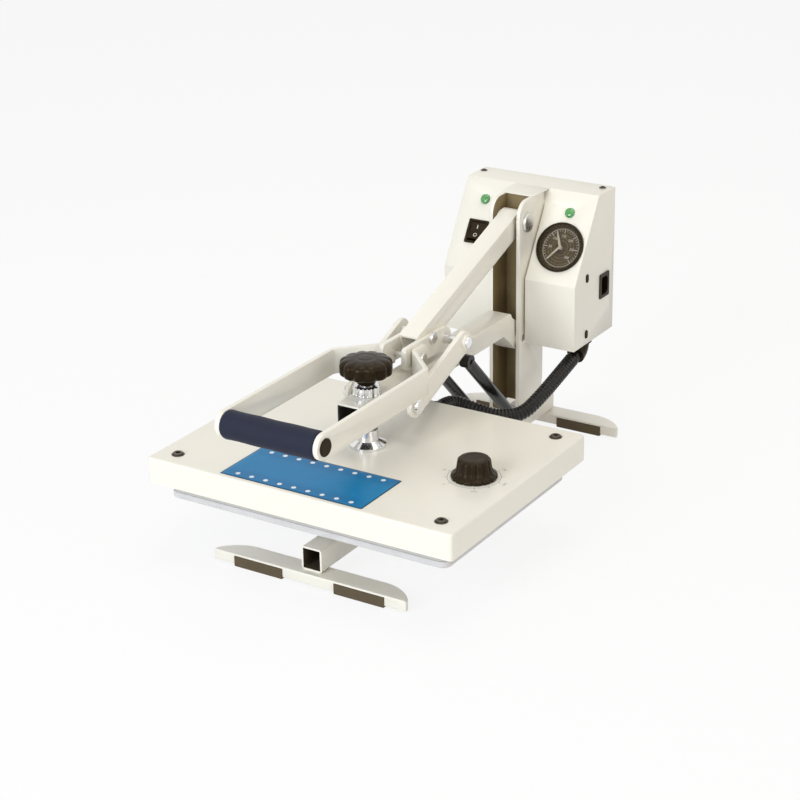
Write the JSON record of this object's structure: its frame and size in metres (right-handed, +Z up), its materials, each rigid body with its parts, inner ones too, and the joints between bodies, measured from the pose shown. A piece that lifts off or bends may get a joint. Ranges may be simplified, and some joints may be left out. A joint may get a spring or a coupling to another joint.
{
  "type": "clamshell heat press",
  "caption": "Portable clamshell heat press: hinged heated platen over a rubber-faced table, over-centre toggle lever with a foam grip, control box on the upright.",
  "frame": {"origin": "on the floor under the middle of the machine's bounding box", "axes": "+X to the operator's right, +Y from the grip to the back of the control box, +Z up"},
  "size_m": [0.415, 0.654, 0.34],
  "materials": {
    "ivory_paint": "powder coat, satin",
    "foot_rubber": "matte",
    "silicone_rubber": "matte",
    "bright_steel": "polished",
    "black_plastic": "satin",
    "gauge_face": "matte",
    "gauge_hands": "matte",
    "clear_lens": "clear",
    "green_lens": "clear coloured",
    "hose_rubber": "satin",
    "navy_foam": "matte foam",
    "grip_steel": "satin",
    "platen_aluminium": "cast and machined",
    "insulating_fibre": "fibre",
    "black_paint": "gloss"
  },
  "bodies": {
    "stand": {"base_spine": "ivory_paint", "front_foot_bar": "ivory_paint", "rear_foot_bar": "ivory_paint", "front_foot_pads": "foot_rubber", "rear_foot_pads": "foot_rubber", "table_bracket": "ivory_paint", "lower_table": "ivory_paint", "silicone_pad": "silicone_rubber", "upright_plate_left": "ivory_paint", "upright_plate_right": "ivory_paint", "upright_web": "ivory_paint", "lever_pivot_pin": "bright_steel", "arm_pivot_pin": "bright_steel", "spring_anchor": "ivory_paint", "control_box_shell": "ivory_paint", "control_box_hood": "ivory_paint", "control_box_back": "ivory_paint", "gauge_case": "black_plastic", "gauge_dial": "gauge_face", "gauge_set_hand": "gauge_hands", "gauge_lens": "clear_lens", "lamp_left": "green_lens", "lamp_right": "green_lens", "switch_bezel": "black_plastic", "power_inlet": "black_plastic", "hose_elbow": "black_plastic", "heater_hose": "hose_rubber"},
    "platen_arm": {"platen_arm": "ivory_paint", "toggle_shaft_front": "bright_steel", "spring_top_pin": "bright_steel", "adjuster_collar": "bright_steel"},
    "lever": {"lever_tube": "ivory_paint", "cheek_left": "ivory_paint", "cheek_right": "ivory_paint", "cheek_bolt_rear": "bright_steel", "cheek_bolt_front": "bright_steel", "toggle_shaft_rear": "bright_steel", "handle_bar_left": "ivory_paint", "handle_bar_right": "ivory_paint", "grip_core": "grip_steel", "foam_grip": "navy_foam"},
    "toggle_links": {"link_left": "ivory_paint", "link_right": "ivory_paint"},
    "platen": {"platen_cover": "ivory_paint", "heat_platen": "platen_aluminium", "insulation_blanket": "insulating_fibre", "spindle_flange": "bright_steel", "hose_gland": "black_plastic"},
    "spindle": {"spindle_screw": "bright_steel", "pressure_knob": "black_plastic"},
    "thermostat": {"thermostat_knob": "black_plastic"},
    "rocker": {"switch_rocker": "black_plastic"},
    "gauge_needle": {"gauge_hand": "gauge_hands"},
    "rod_left": {"spring_rod_left": "bright_steel"},
    "rod_right": {"spring_rod_right": "bright_steel"},
    "cylinder_left": {"spring_cylinder_left": "black_paint"},
    "cylinder_right": {"spring_cylinder_right": "black_paint"}
  },
  "joints": [
    {"name": "arm_lift", "type": "hinge", "parent": "stand", "child": "platen_arm", "pos_m": [0, 0.219, 0.153], "axis": [-1, 0, 0], "range_deg": [0, 36], "deforming": ["heater_hose"]},
    {"name": "lever_swing", "type": "hinge", "parent": "stand", "child": "lever", "pos_m": [0, 0.225, 0.309], "axis": [-1, 0, 0], "range_deg": [0, 63.76]},
    {"name": "toggle_turn", "type": "hinge", "parent": "platen_arm", "child": "toggle_links", "pos_m": [0, -0.086, 0.174], "axis": [1, 0, 0], "range_deg": [0, 69.38]},
    {"name": "pressure_slide", "type": "slide", "parent": "platen_arm", "child": "platen", "axis": [0, 0, 1], "range_m": [0, 0.008]},
    {"name": "spindle_turn", "type": "hinge", "parent": "platen", "child": "spindle", "pos_m": [0, -0.122, 0.127], "axis": [0, 0, 1], "range_deg": [0, 1152.1]},
    {"name": "thermostat_turn", "type": "hinge", "parent": "platen", "child": "thermostat", "pos_m": [0.153, -0.136, 0.127], "axis": [0, 0, -1], "range_deg": [0, 300]},
    {"name": "rocker_tilt", "type": "hinge", "parent": "stand", "child": "rocker", "pos_m": [-0.062, 0.24597, 0.27591], "axis": [1, 0, 0], "range_deg": [0, 14]},
    {"name": "gauge_turn", "type": "hinge", "parent": "stand", "child": "gauge_needle", "pos_m": [0.061, 0.24167, 0.27652], "axis": [0, 0.8561, -0.5169], "range_deg": [0, 220]},
    {"name": "rod_swing_left", "type": "hinge", "parent": "stand", "child": "rod_left", "pos_m": [-0.033, 0.18, 0.054], "axis": [-1, 0, 0], "range_deg": [0, 25.16]},
    {"name": "rod_swing_right", "type": "hinge", "parent": "stand", "child": "rod_right", "pos_m": [0.033, 0.18, 0.054], "axis": [-1, 0, 0], "range_deg": [0, 25.16]},
    {"name": "spring_stroke_left", "type": "slide", "parent": "rod_left", "child": "cylinder_left", "axis": [0, -0.7071, 0.7071], "range_m": [0, 0.0534]},
    {"name": "spring_stroke_right", "type": "slide", "parent": "rod_right", "child": "cylinder_right", "axis": [0, -0.7071, 0.7071], "range_m": [0, 0.0534]}
  ],
  "couplings": [
    {"joint": "lever_swing", "follows": "arm_lift", "ratio": 1.7708},
    {"joint": "toggle_turn", "follows": "arm_lift", "ratio": 1.9271},
    {"joint": "rod_swing_left", "follows": "arm_lift", "ratio": 0.69874},
    {"joint": "rod_swing_right", "follows": "arm_lift", "ratio": 0.69874},
    {"joint": "spring_stroke_left", "follows": "arm_lift", "m_per_rad": 0.084973},
    {"joint": "spring_stroke_right", "follows": "arm_lift", "m_per_rad": 0.084973},
    {"joint": "spindle_turn", "follows": "pressure_slide", "rad_per_m": 2513.3}
  ]
}
